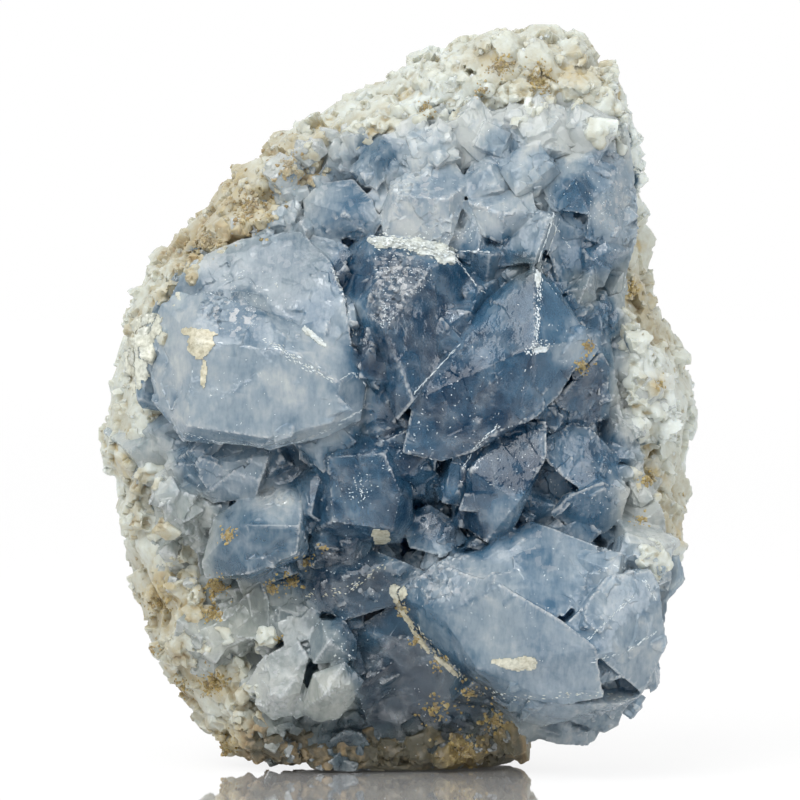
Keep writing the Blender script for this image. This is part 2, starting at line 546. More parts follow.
def turn_to(normal, spin, tilt):
    """A rotation that stands +Z along the normal, leaned by a vector and turned round itself."""
    axis = (normal + tilt).normalized()
    upright = Vector((0, 0, 1)).rotation_difference(axis)
    return (Quaternion(axis, spin) @ upright).to_matrix()


def turn_along(normal, along):
    """A rotation that stands +Z along the normal and lays +X along a direction."""
    first = (along - normal * along.dot(normal)).normalized()
    return Matrix((first, normal.cross(first), normal)).transposed()


def joined(shapes, places):
    """Copies of shapes as one set of points and triangles, and each point's copy.

    A place is (shape, location, rotation, scale).
    """
    all_points = []
    all_faces = []
    owners = []
    offset = 0
    for index, (shape, location, rotation, scale) in enumerate(places):
        points, faces = shapes[shape]
        turned = (points * np.array(scale)) @ np.array(rotation).T + np.array(location)
        all_points.append(turned)
        all_faces.append(faces + offset)
        owners.append(np.full(len(points), index))
        offset += len(points)
    return np.concatenate(all_points), np.concatenate(all_faces), np.concatenate(owners)


def surface_samples(points, faces, count, seed, weigh):
    """Random points on triangles, as likely as their area times a weight, with the triangles' normals."""
    rng = np.random.default_rng(seed)
    corners = points[faces]
    cross = np.cross(corners[:, 1] - corners[:, 0], corners[:, 2] - corners[:, 0])
    area = np.linalg.norm(cross, axis=1)
    normals = cross / np.maximum(area, 1e-18)[:, None]
    weight = area * weigh(corners.mean(axis=1), normals)
    chosen = rng.choice(len(faces), size=count, p=weight / weight.sum())
    first = np.sqrt(rng.random(count))
    second = rng.random(count)
    shares = np.stack([1 - first, first * (1 - second), first * second], axis=1)
    return (corners[chosen] * shares[:, :, None]).sum(axis=1), normals[chosen]


def inside_box(points):
    """Points held within the CAD model's box."""
    return np.clip(points, np.array(cad_bounds[0]), np.array(cad_bounds[1]))


def zone_field(points, zones, column):
    """A value at each point, from the zones round it on the photograph, nearest first."""
    total = np.zeros(len(points))
    weights = np.zeros(len(points))
    for zone in zones:
        x, z = spot(zone[0], zone[1])
        away = ((points[:, 0] - x) ** 2 + (points[:, 2] - z) ** 2) / (zone[2] * PIXEL) ** 2
        weight = 1 / (0.05 + away) ** 3
        total += weight * zone[column]
        weights += weight
    return total / weights


def spread(values, low, high):
    """0 below low, 1 above high, and smooth in between."""
    share = np.clip((values - low) / (high - low), 0, 1)
    return share * share * (3 - 2 * share)


def cell_numbers(cells, seed):
    """Three random numbers from 0 to 1 for each cell of a grid."""
    mix = np.array([[127.1, 311.7, 74.7], [269.5, 183.3, 246.1], [113.5, 271.9, 124.6]])
    values = np.sin(cells @ mix.T + seed * 17.3) * 43758.5453
    return values - np.floor(values)


def drift(points, size, seed):
    """A smooth random number from 0 to 1 at each point, which changes over about one size."""
    placed = points / size
    home = np.floor(placed)
    share = placed - home
    share = share * share * (3 - 2 * share)
    total = np.zeros(len(points))
    for step in itertools.product((0, 1), repeat=3):
        weight = np.where(np.array(step) == 1, share, 1 - share).prod(axis=1)
        total += weight * cell_numbers(home + step, seed)[:, 0]
    return total


def block_cells(points, size, turn, seed):
    """The block that each point is in: the way from the block's middle, in blocks, and its grid cell."""
    placed = points @ np.array(turn).T / size
    home = np.floor(placed)
    nearest = np.full(len(points), np.inf)
    way = np.zeros_like(placed)
    cells = np.zeros_like(placed)
    for step in itertools.product((-1, 0, 1), repeat=3):
        cell = home + step
        offset = placed - cell - cell_numbers(cell, seed)
        distance = np.abs(offset).max(axis=1)
        nearer = distance < nearest
        nearest[nearer] = distance[nearer]
        way[nearer] = offset[nearer]
        cells[nearer] = cell[nearer]
    return way, cells


def broken_heights(points, size, turn, seed, slope):
    """Height of a broken surface: blocks of one size, each with a plane of its own."""
    way, cells = block_cells(points, size, turn, seed)
    own = cell_numbers(cells, seed + 1) - 0.5
    return (way * own).sum(axis=1) * 2 * slope * size


def set_values(mesh, name, values):
    """Stores one number for each point of a mesh."""
    layer = mesh.attributes.new(name, "FLOAT", "POINT")
    layer.data.foreach_set("value", np.asarray(values, np.float32))


def grow_crystals(crust):
    """The large crystals: the crust's solid with broken layers on its faces, in one skin."""
    rng = random.Random(LAYER_SEED)
    shapes = layer_shapes(rng, kinds=12)

    def weigh(middles, normals):
        return (normals[:, 1] < -0.1) * np.where(middles[:, 1] < -0.006, 1.0, 0.4)

    found, normals = surface_samples(*crust, LAYER_COUNT, LAYER_SEED, weigh)
    spins = cell_numbers(np.floor(found / LAYER_BLOCK), LAYER_SEED)[:, 0] * math.tau
    places = []
    for location, normal, spin in zip(found, normals, spins):
        normal = Vector(normal)
        length = rng.uniform(3.0, 9.0) * MM
        height = rng.uniform(0.06, 0.28) * MM
        tilt = Vector((rng.gauss(0, 0.05), rng.gauss(0, 0.05), rng.gauss(0, 0.05)))
        rotation = turn_to(normal, spin + rng.gauss(0, 0.15), tilt)
        scale = (length, length * rng.uniform(0.4, 0.8), height + 0.8 * MM)
        places.append((rng.randrange(len(shapes)), Vector(location) + normal * height, rotation, scale))
    points, faces, _ = joined(shapes, places)
    points = np.concatenate([crust[0], points])
    faces = np.concatenate([crust[1], faces + len(crust[0])])
    piece = new_piece("celestite_crystals", inside_box(points), faces)
    remeshed(piece, CRYSTAL_VOXEL)
    displaced(piece, crystal_relief(piece.data))
    thinned(piece, MOST_TRIANGLES)
    paint_crystals(piece)
    return piece


def crystal_relief(mesh):
    """Breaks, steps and chips on the crystals' faces: how far each point moves."""
    points, _ = point_arrays(mesh)
    frost = zone_field(points, TONES, 4)
    broken = spread(drift(points, 8 * MM, 1), 0.35, 0.75)
    rough = spread(frost + drift(points, 4 * MM, 2) - 0.5, 0.45, 0.95)
    waves = (drift(points, 3.5 * MM, 3) - 0.5) * 0.16 * MM
    large = broken_heights(points, LARGE_BREAK, BREAKS[0], 5, 0.04) * (0.25 + 0.75 * broken)
    middle = broken_heights(points, MIDDLE_BREAK, BREAKS[1], 7, 0.15) * np.maximum(rough, 0.45 * broken)
    small = broken_heights(points, SMALL_BREAK, BREAKS[2], 9, 0.30) * rough
    return waves + large + middle + small


def paint_crystals(piece):
    """Numbers that the crystals' material reads: depth of blue, frost, greyness and how sharp the edge is."""
    mesh = piece.data
    points, normals = point_arrays(mesh)
    _, cells = block_cells(points, LARGE_BREAK, BREAKS[0], 5)
    own = cell_numbers(cells, 21)[:, 0] - 0.5
    facets = np.sin(normals @ np.array([6.0, 5.0, 8.0])) + np.sin(normals @ np.array([-7.0, 4.0, 5.0]) + 1.0)
    set_values(mesh, "tone", zone_field(points, TONES, 3) + 0.14 * own + 0.07 * facets)
    set_values(mesh, "frost", zone_field(points, TONES, 4))
    set_values(mesh, "grey", zone_field(points, TONES, 5))
    bend, _ = bends(mesh)
    set_values(mesh, "sharpness", spread(bend, 0.45, 1.3) * spread(drift(points, 7 * MM, 6), 0.25, 0.65))


def grow_rind(rind, crust):
    """The matrix: the rind's solid covered with broken grains, in one skin."""
    rng = random.Random(RIND_SEED)
    shapes = chunk_shapes(rng, kinds=16, corners=8)

    def weigh(middles, normals):
        return 1.0 * (middles[:, 2] > 0.0015)

    found, normals = surface_samples(*rind, RIND_CHUNKS, RIND_SEED, weigh)
    places = []
    tree = solid_tree(*rind)
    for hit, normal, (*_, least, most) in zone_hits(rng, tree, LUMP_ZONES):
        size = 0.5 * rng.uniform(least, most) * MM
        rotation = turn_to(normal, rng.uniform(0, math.tau), Vector((0, 0, 0)))
        scale = (size, size * rng.uniform(0.7, 1.0), size * rng.uniform(0.6, 0.9))
        places.append((rng.randrange(len(shapes)), hit - normal * size * 0.3, rotation, scale))
    for location, normal in zip(found, normals):
        size = (0.7 + 1.9 * rng.random() ** 2) * MM
        normal = Vector(normal)
        rotation = turn_to(normal, rng.uniform(0, math.tau), Vector((rng.gauss(0, 0.3),) * 3))
        scale = (size * rng.uniform(0.7, 1.2), size * rng.uniform(0.7, 1.2), size * rng.uniform(0.5, 0.9))
        places.append((rng.randrange(len(shapes)), Vector(location) - normal * size * 0.4, rotation, scale))
    points, faces, _ = joined(shapes, places)
    points = np.concatenate([rind[0], points])
    faces = np.concatenate([rind[1], faces + len(rind[0])])
    piece = new_piece("granular_matrix", inside_box(points), faces)
    remeshed(piece, RIND_VOXEL)
    points, _ = point_arrays(piece.data)
    small = broken_heights(points, 1.2 * MM, BREAKS[1], 31, 0.10)
    large = broken_heights(points, 3.4 * MM, BREAKS[0], 32, 0.36)
    swell = (drift(points, RIND_LUMP, 35) - 0.5) * 1.3 * MM
    displaced(piece, (small + large + swell) * spread(points[:, 2], *FOOT))
    thinned(piece, MOST_TRIANGLES)
    points, _ = mesh_arrays(piece.data)
    own = 0.5 * (1 - drift(points, RIND_LUMP, 35))
    own += 0.25 * drift(points, 3.0 * MM, 33) + 0.25 * drift(points, 1.2 * MM, 34)
    bend, _ = bends(piece.data)
    paint_rind(piece, points, own, spread(-bend, 0.10, 0.6))
    set_values(piece.data, "rooted", under_crystals(piece, crust))
    return piece


def under_crystals(piece, crust):
    """1 where the crystals stand right over the matrix, 0 elsewhere."""
    tree = solid_tree(*crust)
    points, normals = point_arrays(piece.data)
    covered = np.zeros(len(points))
    for index, (point, normal) in enumerate(zip(points.tolist(), normals.tolist())):
        outward = Vector(normal) + Vector((0, -0.6, 0))
        if tree.ray_cast(Vector(point), outward.normalized(), 6 * MM)[0] is not None:
            covered[index] = 1
    return covered


def paint_rind(piece, points, own, crevice):
    """Numbers that the matrix's material reads: its tint, from white to brown, and its stains."""
    warmth = zone_field(points, WARMTHS, 3) + 0.5 * (drift(points, 6 * MM, 41) - 0.5)
    set_values(piece.data, "tint", np.clip(0.66 * warmth + 0.60 * (own - 0.36) + 0.22 * crevice, 0, 1))
    set_values(piece.data, "stain", stain_field(points, crevice))


def stain_field(points, crevice):
    """How strongly each point is stained: drifts in the crevices, and the photograph's stains."""
    drifts = drift(points, 5 * MM, 42) + 0.4 * drift(points, 1.5 * MM, 43)
    stain = 0.6 * spread(drifts + 0.25 * crevice, 0.95, 1.25)
    for x_px, y_px, radius, strength in STAINS:
        x, z = spot(x_px, y_px)
        away = ((points[:, 0] - x) ** 2 + (points[:, 2] - z) ** 2) / (radius * PIXEL) ** 2
        stain = np.maximum(stain, strength * np.exp(-away) * (points[:, 1] < 0.004))
    return stain


def loose_grains(rind_piece, tree):
    """White, grey and brown grains that stand crisp on the matrix."""
    rng = random.Random(GRAIN_SEED)
    shapes = chunk_shapes(rng, kinds=16, corners=11)
    points, faces = mesh_arrays(rind_piece.data)

    def weigh(middles, normals):
        open_air = np.empty(len(middles))
        for index, (middle, normal) in enumerate(zip(middles.tolist(), normals.tolist())):
            start = Vector(middle) + Vector(normal) * 0.3 * MM
            hit = tree.ray_cast(start, Vector(normal), 3 * MM)[0]
            open_air[index] = 0.0 if hit else 1.0
        return open_air * (middles[:, 2] > 0.0012)

    found, normals = surface_samples(points, faces, GRAIN_COUNT, GRAIN_SEED, weigh)
    places = []
    for location, normal in zip(found, normals):
        size = (0.22 + 0.55 * rng.random() ** 2) * MM
        normal = Vector(normal)
        spin = rng.uniform(0, math.tau)
        rotation = turn_to(normal, spin, Vector((rng.gauss(0, 0.5), rng.gauss(0, 0.5), 0)))
        kind = rng.randrange(len(shapes))
        scale = (size, size * rng.uniform(0.7, 1.0), size * rng.uniform(0.6, 1.0))
        places.append((kind, Vector(location) - normal * size * 0.45, rotation, scale))
    points, faces, owners = joined(shapes, places)
    piece = new_piece("matrix_grains", inside_box(points), faces)
    own = np.array([rng.random() for _ in places])[owners]
    paint_rind(piece, found[owners], own, np.zeros(len(points)))
    return piece


def seam_places(crust, rind):
    """Where the crystals' outer edge meets the matrix, found by looking from several sides."""
    trees = [solid_tree(*crust), solid_tree(*rind)]
    middle = (Vector(cad_bounds[0]) + Vector(cad_bounds[1])) / 2
    most = int(SEAM_REACH / SEAM_STEP)
    found = []
    for look in SEAM_LOOKS:
        look = Vector(look).normalized()
        across = look.orthogonal().normalized()
        up = look.cross(across)
        seen = {}
        for column, row in itertools.product(range(-most, most + 1), repeat=2):
            start = middle - look * 0.1 + (across * column + up * row) * SEAM_STEP
            hits = [tree.ray_cast(start, look) for tree in trees]
            lengths = [hit[3] if hit[0] is not None else 1.0 for hit in hits]
            if min(lengths) < 1.0:
                nearer = lengths.index(min(lengths))
                seen[column, row] = (nearer, hits[nearer][0], hits[nearer][1] - look)
        for (column, row), (nearer, place, normal) in seen.items():
            for beside in ((column + 1, row), (column, row + 1)):
                other, other_place, _ = seen.get(beside, (nearer, place, normal))
                if other != nearer and (other_place - place).length < SEAM_GAP:
                    found.append((place, normal.normalized()))
    return found


def grow_seams(tree, crust, rind):
    """Lumps of matrix that have grown over the crystals' edge, in one skin."""
    rng = random.Random(SEAM_SEED)
    blocks = [(1.3 * points, faces) for points, faces in prism_shapes(rng, kinds=10)]
    shapes = blocks + chunk_shapes(rng, kinds=8, corners=7)
    places = []

    def lay(hit, normal, size):
        spin = rng.uniform(0, math.tau)
        rotation = turn_to(normal, spin, Vector((rng.gauss(0, 0.3), 0, rng.gauss(0, 0.3))))
        scale = (size * rng.uniform(0.8, 1.2), size * rng.uniform(0.7, 1.0), size * rng.uniform(0.5, 0.8))
        places.append((rng.randrange(len(shapes)), hit - normal * size * 0.35, rotation, scale))

    for place, normal in seam_places(crust, rind):
        lay(place, normal, (0.5 + 1.9 * rng.random() ** 2) * MM)
    for hit, normal, (*_, least, most) in zone_hits(rng, tree, SEAM_LUMPS):
        lay(hit, normal, 0.5 * (least + (most - least) * rng.random() ** 1.5) * MM)
    points, faces, _ = joined(shapes, places)
    piece = new_piece("seam_lumps", inside_box(points), faces)
    remeshed(piece, SEAM_VOXEL)
    points, _ = point_arrays(piece.data)
    small = broken_heights(points, 1.1 * MM, BREAKS[2], 55, 0.08)
    large = broken_heights(points, 2.6 * MM, BREAKS[0], 56, 0.22)
    displaced(piece, (small + large) * spread(points[:, 2], *FOOT))
    thinned(piece, MOST_SEAM_TRIANGLES)
    points, _ = mesh_arrays(piece.data)
    own = 0.5 * drift(points, 2.4 * MM, 57) + 0.5 * drift(points, 0.9 * MM, 58)
    bend, _ = bends(piece.data)
    paint_rind(piece, points, own, spread(-bend, 0.10, 0.6))
    return piece


def seam_grains(tree):
    """Stained grains that lie on the crystals and in their seams."""
    rng = random.Random(SEAM_GRAIN_SEED)
    shapes = chunk_shapes(rng, kinds=16, corners=11)
    places = []
    tints = []
    stains = []

    def heaped(rng):
        return abs(rng.gauss(0, 0.6))

    for hit, normal, (*_, least, most, tint, stain) in zone_hits(rng, tree, SEAM_GRAINS, heaped):
        size = 0.5 * (least + (most - least) * rng.random() ** 1.7) * MM
        rotation = turn_to(normal, rng.uniform(0, math.tau), Vector((0, 0, 0)))
        scale = (size, size * rng.uniform(0.7, 1.0), size * rng.uniform(0.6, 1.0))
        places.append((rng.randrange(len(shapes)), hit - normal * size * 0.25, rotation, scale))
        tints.append(min(max(tint + rng.gauss(0, 0.14), 0), 1))
        stains.append(stain * rng.uniform(0.5, 1.0))
    points, faces, owners = joined(shapes, places)
    piece = new_piece("seam_grains", inside_box(points), faces)
    set_values(piece.data, "tint", np.array(tints)[owners])
    set_values(piece.data, "stain", np.array(stains)[owners])
    return piece


def skin_points(tree, skin):
    """A skin's points: their columns and rows, places, normals and distances, 1 at the skin's edge."""
    x_px, y_px, half_width, half_height, turn, _ = skin
    turn = math.radians(turn)
    most = int(1.4 * max(half_width, half_height) / SKIN_STEP) + 1
    found = []
    for column, row in itertools.product(range(-most, most + 1), repeat=2):
        across = column * SKIN_STEP
        down = row * SKIN_STEP
        along = (across * math.cos(turn) + down * math.sin(turn)) / half_width
        beside = (down * math.cos(turn) - across * math.sin(turn)) / half_height
        away = along ** 2 + beside ** 2
        if away < 2:
            hit, normal = sight(tree, x_px + across, y_px + down)
            if hit is not None:
                found.append(((column, row), hit, normal, away))
    return found


def grow_skins(tree):
    """Skins of cream mineral that lie on the crystals, ragged at their edges."""
    points = []
    faces = []
    warmths = []
    for skin in SKINS:
        found = skin_points(tree, skin)
        places = np.array([hit for _, hit, _, _ in found])
        coarse = drift(places, 1.5 * MM, 61) - 0.5
        fine = drift(places, 0.4 * MM, 62) - 0.5
        laid = {}
        for (cell, hit, normal, away), wide, narrow in zip(found, coarse, fine):
            if away < 1 + 1.3 * wide + 0.7 * narrow:
                laid[cell] = len(points)
                points.append(hit + normal * SKIN_HEIGHT * (1.1 + narrow))
                warmths.append(skin[5] + 0.3 * wide)
        for (column, row), corner in laid.items():
            beside = [laid.get((column + a, row + b)) for a, b in ((0, 1), (1, 1), (1, 0))]
            if None not in beside and max((points[a] - points[corner]).length for a in beside) < MM:
                faces.append([corner] + beside)
    mesh = bpy.data.meshes.new("crystal_skins")
    mesh.from_pydata(inside_box(np.array(points)).tolist(), [], faces)
    mesh.update()
    set_values(mesh, "warmth", np.array(warmths))
    piece = bpy.data.objects.new("crystal_skins", mesh)
    bpy.context.scene.collection.objects.link(piece)
    modifier = piece.modifiers.new("thickness", "SOLIDIFY")
    modifier.thickness = SKIN_THICKNESS
    modifier.offset = -1.0
    applied(piece)
    return piece


def look_grid(tree):
    """What the camera sees at each step of the search for clefts."""
    seen = {}
    for cell in itertools.product(range(CLEFT_LOOKS[0]), range(CLEFT_LOOKS[1])):
        hit, _ = sight(tree, CLEFT_START[0] + cell[0] * CLEFT_STEP, CLEFT_START[1] + cell[1] * CLEFT_STEP)
        if hit is not None:
            seen[cell] = hit
    return seen


def cleft_places(tree, crystal_tree):
    """Places in the clefts between the crystals, a little behind their lips, and how wide each cleft is."""
    lips = look_grid(crystal_tree)
    sides = [side for side in itertools.product((-1, 0, 1), repeat=2) if side != (0, 0)]
    found = []
    for (column, row), hit in look_grid(tree).items():
        for reach in CLEFT_REACHES:
            around = [lips.get((column + a * reach, row + b * reach)) for a, b in sides]
            steps = sorted((hit.y - other.y if other else -1.0 for other in around), reverse=True)
            lip = steps[CLEFT_SIDES - 1]
            if lip > CLEFT_DEPTH:
                found.append((hit + Vector((0, -0.8 * lip, 0)), reach * CLEFT_STEP * PIXEL))
                break
    return found


def grow_druse(tree, crystal_tree):
    """Small crystals between and beside the large ones, grown together."""
    rng = random.Random(DRUSE_SEED)
    shapes = prism_shapes(rng, kinds=10)
    shapes += [(0.6 * points, faces) for points, faces in chunk_shapes(rng, kinds=12, corners=10)]
    places = []

    def lay(place, normal, breadth):
        tilt = Vector((rng.gauss(0, 0.35), rng.gauss(-0.5, 0.25), rng.gauss(0, 0.35)))
        rotation = turn_to(normal, rng.uniform(0, math.tau), tilt)
        scale = (breadth, breadth * rng.uniform(0.8, 1.3), breadth * rng.uniform(0.7, 1.1))
        places.append((rng.randrange(len(shapes)), place, rotation, scale))

    for hit, normal, (*_, least, most) in zone_hits(rng, tree, DRUSE_ZONES):
        breadth = (least + (most - least) * rng.random() ** 1.6) * MM
        lay(hit - normal * breadth * 0.35, normal, breadth)
    for place, width in cleft_places(tree, crystal_tree):
        if rng.random() < CLEFT_SHARE * (CLEFT_STEP * PIXEL * CLEFT_REACHES[0] / width) ** 1.5:
            breadth = rng.uniform(1.5, 2.4) * width
            outward = Vector((rng.gauss(0, 0.3), -1, rng.gauss(0, 0.3)))
            lay(place + Vector((0, 0.5 * breadth, 0)), outward, breadth)
    points, faces, _ = joined(shapes, places)
    piece = new_piece("celestite_druse", inside_box(points), faces)
    remeshed(piece, DRUSE_VOXEL)
    points, _ = point_arrays(piece.data)
    displaced(piece, broken_heights(points, MIDDLE_BREAK, BREAKS[1], 8, 0.08))
    thinned(piece, MOST_TRIANGLES)
    paint_crystals(piece)
    return piece


def crisp_edges(points, faces):
    """The crust's sharp outward edges that face the front: both ends of each."""
    mesh = bmesh.new()
    verts = [mesh.verts.new(point) for point in points.tolist()]
    for face in faces.tolist():
        mesh.faces.new([verts[index] for index in face])
    mesh.normal_update()
    edges = []
    for edge in mesh.edges:
        if len(edge.link_faces) != 2 or not edge.is_convex:
            continue
        facing = (edge.link_faces[0].normal + edge.link_faces[1].normal).y
        if facing < -0.2 and edge.calc_face_angle(0.0) > math.radians(28):
            edges.append((edge.verts[0].co.copy(), edge.verts[1].co.copy()))
    mesh.free()
    return edges


def splinter_places(rng, tree, shapes, crust):
    """Where white splinters lie, and how warm each one is."""
    places = []
    warmths = []

    def lay(hit, normal, along, breadth, stretch, warmth):
        if hit is None:
            return
        size = 0.5 * breadth * rng.uniform(0.6, 1.5) * MM
        thick = min(size * rng.uniform(0.35, 0.8), 0.15 * MM)
        scale = (size * stretch * rng.uniform(0.7, 1.3), size * rng.uniform(0.6, 1.0), thick)
        tilt = Vector((rng.gauss(0, 0.25), rng.gauss(0, 0.25), rng.gauss(0, 0.25)))
        rotation = turn_along((normal + tilt).normalized(), along)
        places.append((rng.randrange(len(shapes)), hit, rotation, scale))
        warmths.append(min(max(warmth + rng.gauss(0, 0.08), 0), 1))

    def any_way():
        return Vector((rng.gauss(0, 1), rng.gauss(0, 1), rng.gauss(0, 1)))

    for corners, count, breadth, stray, stretch, bridge, warmth in SPLINTER_LINES:
        spans = list(zip(corners, corners[1:]))
        lengths = [math.dist(*span) for span in spans]
        for _ in range(count):
            first, second = rng.choices(spans, lengths)[0]
            share = rng.random()
            x_px = first[0] + (second[0] - first[0]) * share + rng.gauss(0, stray)
            y_px = first[1] + (second[1] - first[1]) * share + rng.gauss(0, stray)
            along = Vector((second[0] - first[0], 0, first[1] - second[1]))
            lay(*ridge_sight(tree, x_px, y_px, bridge), along, breadth, stretch, warmth)
    for x_px, y_px, half_width, half_height, turn, count, breadth, warmth in SPLINTER_PATCHES:
        turn = math.radians(turn)
        for _ in range(count):
            angle = rng.uniform(0, math.tau)
            away = rng.random() ** 0.6
            across = half_width * away * math.cos(angle)
            down = half_height * away * math.sin(angle)
            place = (x_px + across * math.cos(turn) - down * math.sin(turn),
                     y_px + across * math.sin(turn) + down * math.cos(turn))
            lay(*sight(tree, *place), any_way(), breadth, 1.5, warmth)
    for x_px, y_px, radius, count, breadth in SPECKS:
        for _ in range(count):
            place = (x_px + rng.gauss(0, radius / 2), y_px + rng.gauss(0, radius / 2))
            lay(*sight(tree, *place), any_way(), breadth, rng.uniform(1.0, 3.2), 0.0)
    edges = crisp_edges(*crust)
    lengths = [(first - second).length for first, second in edges]
    for first, second in rng.choices(edges, lengths, k=EDGE_SPLINTERS):
        place = first.lerp(second, rng.random())
        chipped = drift(np.array([place]), 5 * MM, 51)[0]
        hit, normal, _, away = tree.find_nearest(place)
        if chipped > 0.42 and away < 1.0 * MM:
            lay(hit, normal, second - first, 0.14, 2.5, 0.0)
    return places, warmths


def grow_splinters(tree, crust):
    """White and cream splinters: chipped edges, veins, frosted patches and specks."""
    rng = random.Random(SPLINTER_SEED)
    shapes = chunk_shapes(rng, kinds=12, corners=8)
    places, warmths = splinter_places(rng, tree, shapes, crust)
    points, faces, owners = joined(shapes, places)
    piece = new_piece("white_splinters", inside_box(points), faces)
    set_values(piece.data, "warmth", np.array(warmths)[owners])
    return piece


class Look:
    """A material with its Principled shader, and short ways to add nodes."""

    def __init__(self, name):
        self.material = bpy.data.materials.new(name)
        self.material.use_nodes = True
        self.tree = self.material.node_tree
        self.shader = self.tree.nodes["Principled BSDF"].inputs

    def add(self, kind, **values):
        """A node with some of its inputs or settings."""
        node = self.tree.nodes.new(kind)
        for key, value in values.items():
            if key in node.inputs:
                self.put(node.inputs[key], value)
            else:
                setattr(node, key, value)
        return node

    def put(self, socket, value):
        """Links a socket to another one, or gives it a value."""
        if isinstance(value, bpy.types.NodeSocket):
            self.tree.links.new(value, socket)
        else:
            socket.default_value = value

    def place(self):
        """Each point's place in metres."""
        return self.add("ShaderNodeTexCoord").outputs["Object"]

    def stored(self, name):
        """A number stored on the mesh."""
        return self.add("ShaderNodeAttribute", attribute_name=name).outputs["Fac"]

    def noise(self, place, scale, detail, roughness):
        """A cloudy number from 0 to 1."""
        values = {"Vector": place, "Scale": scale, "Detail": detail, "Roughness": roughness}
        return self.add("ShaderNodeTexNoise", **values).outputs["Fac"]

    def sum(self, operation, first, second, clamp=False):
        """One sum of two sockets or numbers."""
        node = self.add("ShaderNodeMath", operation=operation, use_clamp=clamp)
        self.put(node.inputs[0], first)
        self.put(node.inputs[1], second)
        return node.outputs[0]

    def times(self, first, second, clamp=False):
        return self.sum("MULTIPLY", first, second, clamp)

    def plus(self, first, second, clamp=False):
        return self.sum("ADD", first, second, clamp)

    def around(self, source, swing):
        """A number from 0 to 1 as a swing round 0."""
        return self.times(self.plus(source, -0.5), swing)

    def ramp(self, source, *stops):
        """A colour ramp through (place, colour) stops."""
        node = self.add("ShaderNodeValToRGB", Fac=source)
        elements = node.color_ramp.elements
        while len(elements) > 1:
            elements.remove(elements[-1])
        elements[0].position = stops[0][0]
        elements[0].color = (*stops[0][1], 1)
        for position, colour in stops[1:]:
            elements.new(position).color = (*colour, 1)
        return node.outputs["Color"]

    def mixed(self, share, first, second, blend="MIX"):
        """A blend of two colours."""
        node = self.add("ShaderNodeMix", data_type="RGBA", blend_type=blend)
        for index, value in ((0, share), (6, first), (7, second)):
            self.put(node.inputs[index], (*value, 1) if isinstance(value, tuple) else value)
        return node.outputs[2]

    def bump(self, height):
        """Fine relief on the shader."""
        node = self.add("ShaderNodeBump", Strength=0.5, Distance=0.0003, Height=height)
        self.put(self.shader["Normal"], node.outputs[0])


def crystal_body(look, depth):
    """The crystals' colour, from pale to deep blue, and grey-green where they are grey."""
    blue = look.ramp(
        depth,
        (0.0, (0.86, 0.92, 0.92)),
        (0.28, (0.45, 0.575, 0.675)),
        (0.60, (0.085, 0.215, 0.355)),
        (1.0, (0.004, 0.05, 0.118)),
    )
    greyed = look.ramp(
        depth,
        (0.0, (0.72, 0.75, 0.68)),
        (0.30, (0.44, 0.48, 0.43)),
        (0.65, (0.16, 0.19, 0.17)),
        (1.0, (0.03, 0.04, 0.04)),
    )
    return look.mixed(look.stored("grey"), blue, greyed)


def crystal_material():
    """Celestite: clear blue with veils, frosted patches and whitened edges."""
    look = Look("celestite")
    place = look.place()
    frost = look.stored("frost")
    cloud = look.noise(place, 130.0, 2.0, 0.62)
    mottle = look.noise(place, 420.0, 3.0, 0.65)
    fine = look.noise(place, 1500.0, 1.0, 0.6)
    stretched = look.add("ShaderNodeMapping", Vector=place, Rotation=(0.5, 0.9, 0.3), Scale=(1.0, 0.16, 0.35))
    streaks = look.noise(stretched.outputs[0], 1700.0, 2.0, 0.6)

    depth = look.plus(look.stored("tone"), look.around(cloud, 0.42))
    depth = look.plus(depth, look.around(mottle, 0.40))
    depth = look.plus(depth, look.around(streaks, 0.30), True)
    veils = look.ramp(cloud, (0.44, (0, 0, 0)), (0.50, (1, 1, 1)), (0.56, (0, 0, 0)))
    veil = look.times(look.times(veils, fine), 0.28)
    colour = look.mixed(veil, crystal_body(look, depth), (0.74, 0.82, 0.86))
    frosting = look.sum("POWER", look.times(frost, look.times(cloud, 1.7), True), 2.0)
    colour = look.mixed(look.times(frosting, 0.14, True), colour, (0.72, 0.80, 0.85))
    chipped = look.ramp(fine, (0.30, (0, 0, 0)), (0.50, (1, 1, 1)))
    edges = look.times(look.stored("sharpness"), chipped, True)
    colour = look.mixed(look.times(edges, 0.75, True), colour, (0.88, 0.93, 0.95))
    flecks = look.add("ShaderNodeTexVoronoi", Vector=place, Scale=1500.0, feature="F1", distance="CHEBYCHEV")
    split = look.add("ShaderNodeSeparateColor", Color=flecks.outputs["Color"])
    fleck = look.ramp(split.outputs[0], (0.76, (0, 0, 0)), (0.84, (1, 1, 1)))
    colour = look.mixed(look.times(fleck, frosting, True), colour, (0.94, 0.96, 0.97))
    look.put(look.shader["Base Color"], colour)

    roughness = look.plus(0.05, look.times(frosting, 0.30), True)
    look.put(look.shader["Roughness"], look.plus(roughness, look.times(fine, 0.10), True))
    height = look.plus(look.times(look.times(split.outputs[1], frost), 0.8), look.times(fine, 0.14))
    height = look.plus(height, look.times(mottle, 0.9))
    look.bump(look.plus(height, look.times(streaks, 0.25)))

    look.put(look.shader["Transmission Weight"], 0.55)
    look.put(look.shader["IOR"], CRYSTAL_IOR)
    look.put(look.shader["Specular IOR Level"], 0.18)
    absorb = look.add("ShaderNodeVolumeAbsorption", Color=(0.31, 0.58, 0.79, 1), Density=100.0)
    look.put(look.tree.nodes["Material Output"].inputs["Volume"], absorb.outputs[0])
    return look.material


